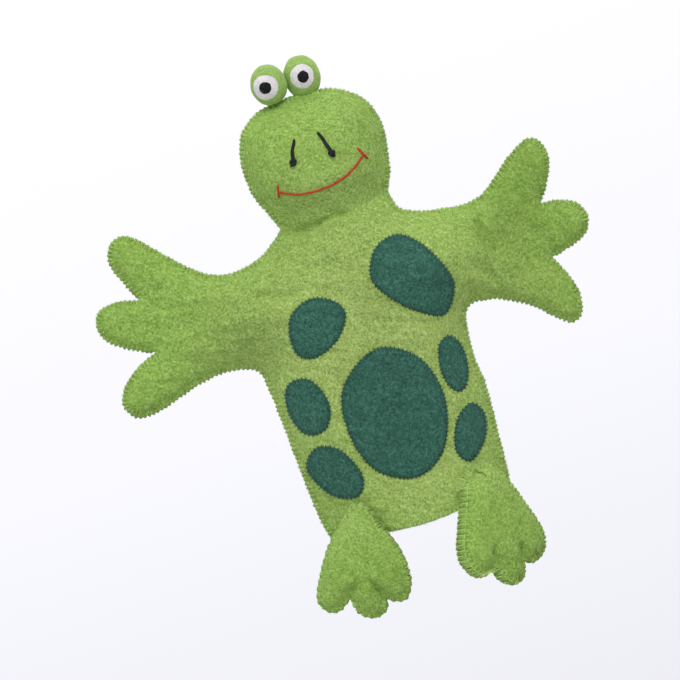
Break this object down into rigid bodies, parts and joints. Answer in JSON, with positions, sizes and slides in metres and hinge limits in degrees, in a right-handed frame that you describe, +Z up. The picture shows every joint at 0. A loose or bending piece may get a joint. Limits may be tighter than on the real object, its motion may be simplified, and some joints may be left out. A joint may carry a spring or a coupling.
{
  "type": "hand puppet",
  "caption": "Felt frog glove puppet: open hem for the hand, stuffed head, hollow sleeves, dark spots and two stuffed hanging feet.",
  "frame": {"origin": "middle of the open hem that the hand goes in at", "axes": "+Z up the body to the head, -Y the front with the face and spots, +X to the right as the front is looked at"},
  "size_m": [0.268, 0.0647, 0.3015],
  "materials": {
    "green_felt": "matte wool felt, heathered spring green",
    "dark_felt": "matte wool felt, dark teal green",
    "white_wool": "needle-felted wool, off white",
    "black_wool": "needle-felted wool, black",
    "stuffing": "loose white wool filling",
    "green_thread": "matte twisted sewing thread",
    "dark_thread": "matte twisted sewing thread",
    "red_thread": "matte twisted embroidery thread",
    "black_thread": "matte twisted embroidery thread"
  },
  "bodies": {
    "torso": {"torso_front": "green_felt", "torso_back": "green_felt", "seam_thread_side_left": "green_thread", "seam_thread_side_right": "green_thread", "seam_thread_shoulder_left": "green_thread", "seam_thread_shoulder_right": "green_thread", "hem_thread_front": "green_thread", "hem_thread_back": "green_thread", "spot_belly": "dark_felt", "spot_chest_right": "dark_felt", "spot_chest_left": "dark_felt", "spot_side_left": "dark_felt", "spot_hip_left": "dark_felt", "spot_side_right": "dark_felt", "spot_hip_right": "dark_felt", "spot_belly_thread": "dark_thread", "spot_chest_right_thread": "dark_thread", "spot_chest_left_thread": "dark_thread", "spot_side_left_thread": "dark_thread", "spot_hip_left_thread": "dark_thread", "spot_side_right_thread": "dark_thread", "spot_hip_right_thread": "dark_thread"},
    "neck": {"neck_front": "green_felt", "neck_back": "green_felt"},
    "head": {"head_front": "green_felt", "head_back": "green_felt", "head_stuffing": "stuffing", "seam_thread_head": "green_thread", "eye_left": "green_felt", "eye_right": "green_felt", "eye_white_left": "white_wool", "eye_white_right": "white_wool", "pupil_left": "black_wool", "pupil_right": "black_wool", "mouth_thread": "red_thread", "nostril_thread_left": "black_thread", "nostril_thread_right": "black_thread"},
    "arm_left": {"arm_left_front": "green_felt", "arm_left_back": "green_felt", "seam_thread_sleeve_top_left": "green_thread", "seam_thread_sleeve_under_left": "green_thread"},
    "arm_right": {"arm_right_front": "green_felt", "arm_right_back": "green_felt", "seam_thread_sleeve_top_right": "green_thread", "seam_thread_sleeve_under_right": "green_thread"},
    "paw_left": {"paw_left_front": "green_felt", "paw_left_back": "green_felt", "seam_thread_paw_left": "green_thread"},
    "paw_right": {"paw_right_front": "green_felt", "paw_right_back": "green_felt", "seam_thread_paw_right": "green_thread"},
    "foot_left": {"foot_left_front": "green_felt", "foot_left_back": "green_felt", "foot_left_stuffing": "stuffing", "foot_left_thread": "green_thread"},
    "foot_right": {"foot_right_front": "green_felt", "foot_right_back": "green_felt", "foot_right_stuffing": "stuffing", "foot_right_thread": "green_thread"}
  },
  "joints": [
    {"name": "head_tilt", "type": "hinge", "parent": "torso", "child": "neck", "pos_m": [-0.001, 0, 0.16], "axis": [0, 1, 0], "range_deg": [-10, 10], "stiffness_Nm_per_rad": 0.6},
    {"name": "head_nod", "type": "hinge", "parent": "neck", "child": "head", "pos_m": [0, 0, 0.1712], "axis": [1, 0, 0], "range_deg": [-15, 25], "stiffness_Nm_per_rad": 0.6},
    {"name": "arm_left_raise", "type": "hinge", "parent": "torso", "child": "arm_left", "pos_m": [-0.068, 0, 0.1315], "axis": [0, 1, 0], "range_deg": [-20, 20], "stiffness_Nm_per_rad": 0.5},
    {"name": "arm_right_raise", "type": "hinge", "parent": "torso", "child": "arm_right", "pos_m": [0.07, 0, 0.1275], "axis": [0, -1, 0], "range_deg": [-20, 20], "stiffness_Nm_per_rad": 0.5},
    {"name": "arm_left_swing", "type": "hinge", "parent": "arm_left", "child": "paw_left", "pos_m": [-0.086, 0, 0.14], "axis": [0, 0, 1], "range_deg": [-15, 45], "stiffness_Nm_per_rad": 0.3},
    {"name": "arm_right_swing", "type": "hinge", "parent": "arm_right", "child": "paw_right", "pos_m": [0.084, 0, 0.126], "axis": [0, 0, -1], "range_deg": [-15, 45], "stiffness_Nm_per_rad": 0.3},
    {"name": "foot_left_swing", "type": "hinge", "parent": "torso", "child": "foot_left", "pos_m": [-0.0358, -0.0189, 0.02], "axis": [-0.9613, 0.2756, 0], "range_deg": [0, 60]},
    {"name": "foot_right_swing", "type": "hinge", "parent": "torso", "child": "foot_right", "pos_m": [0.032, -0.0175, 0.0202], "axis": [-0.8988, -0.4384, 0], "range_deg": [0, 60]}
  ]
}
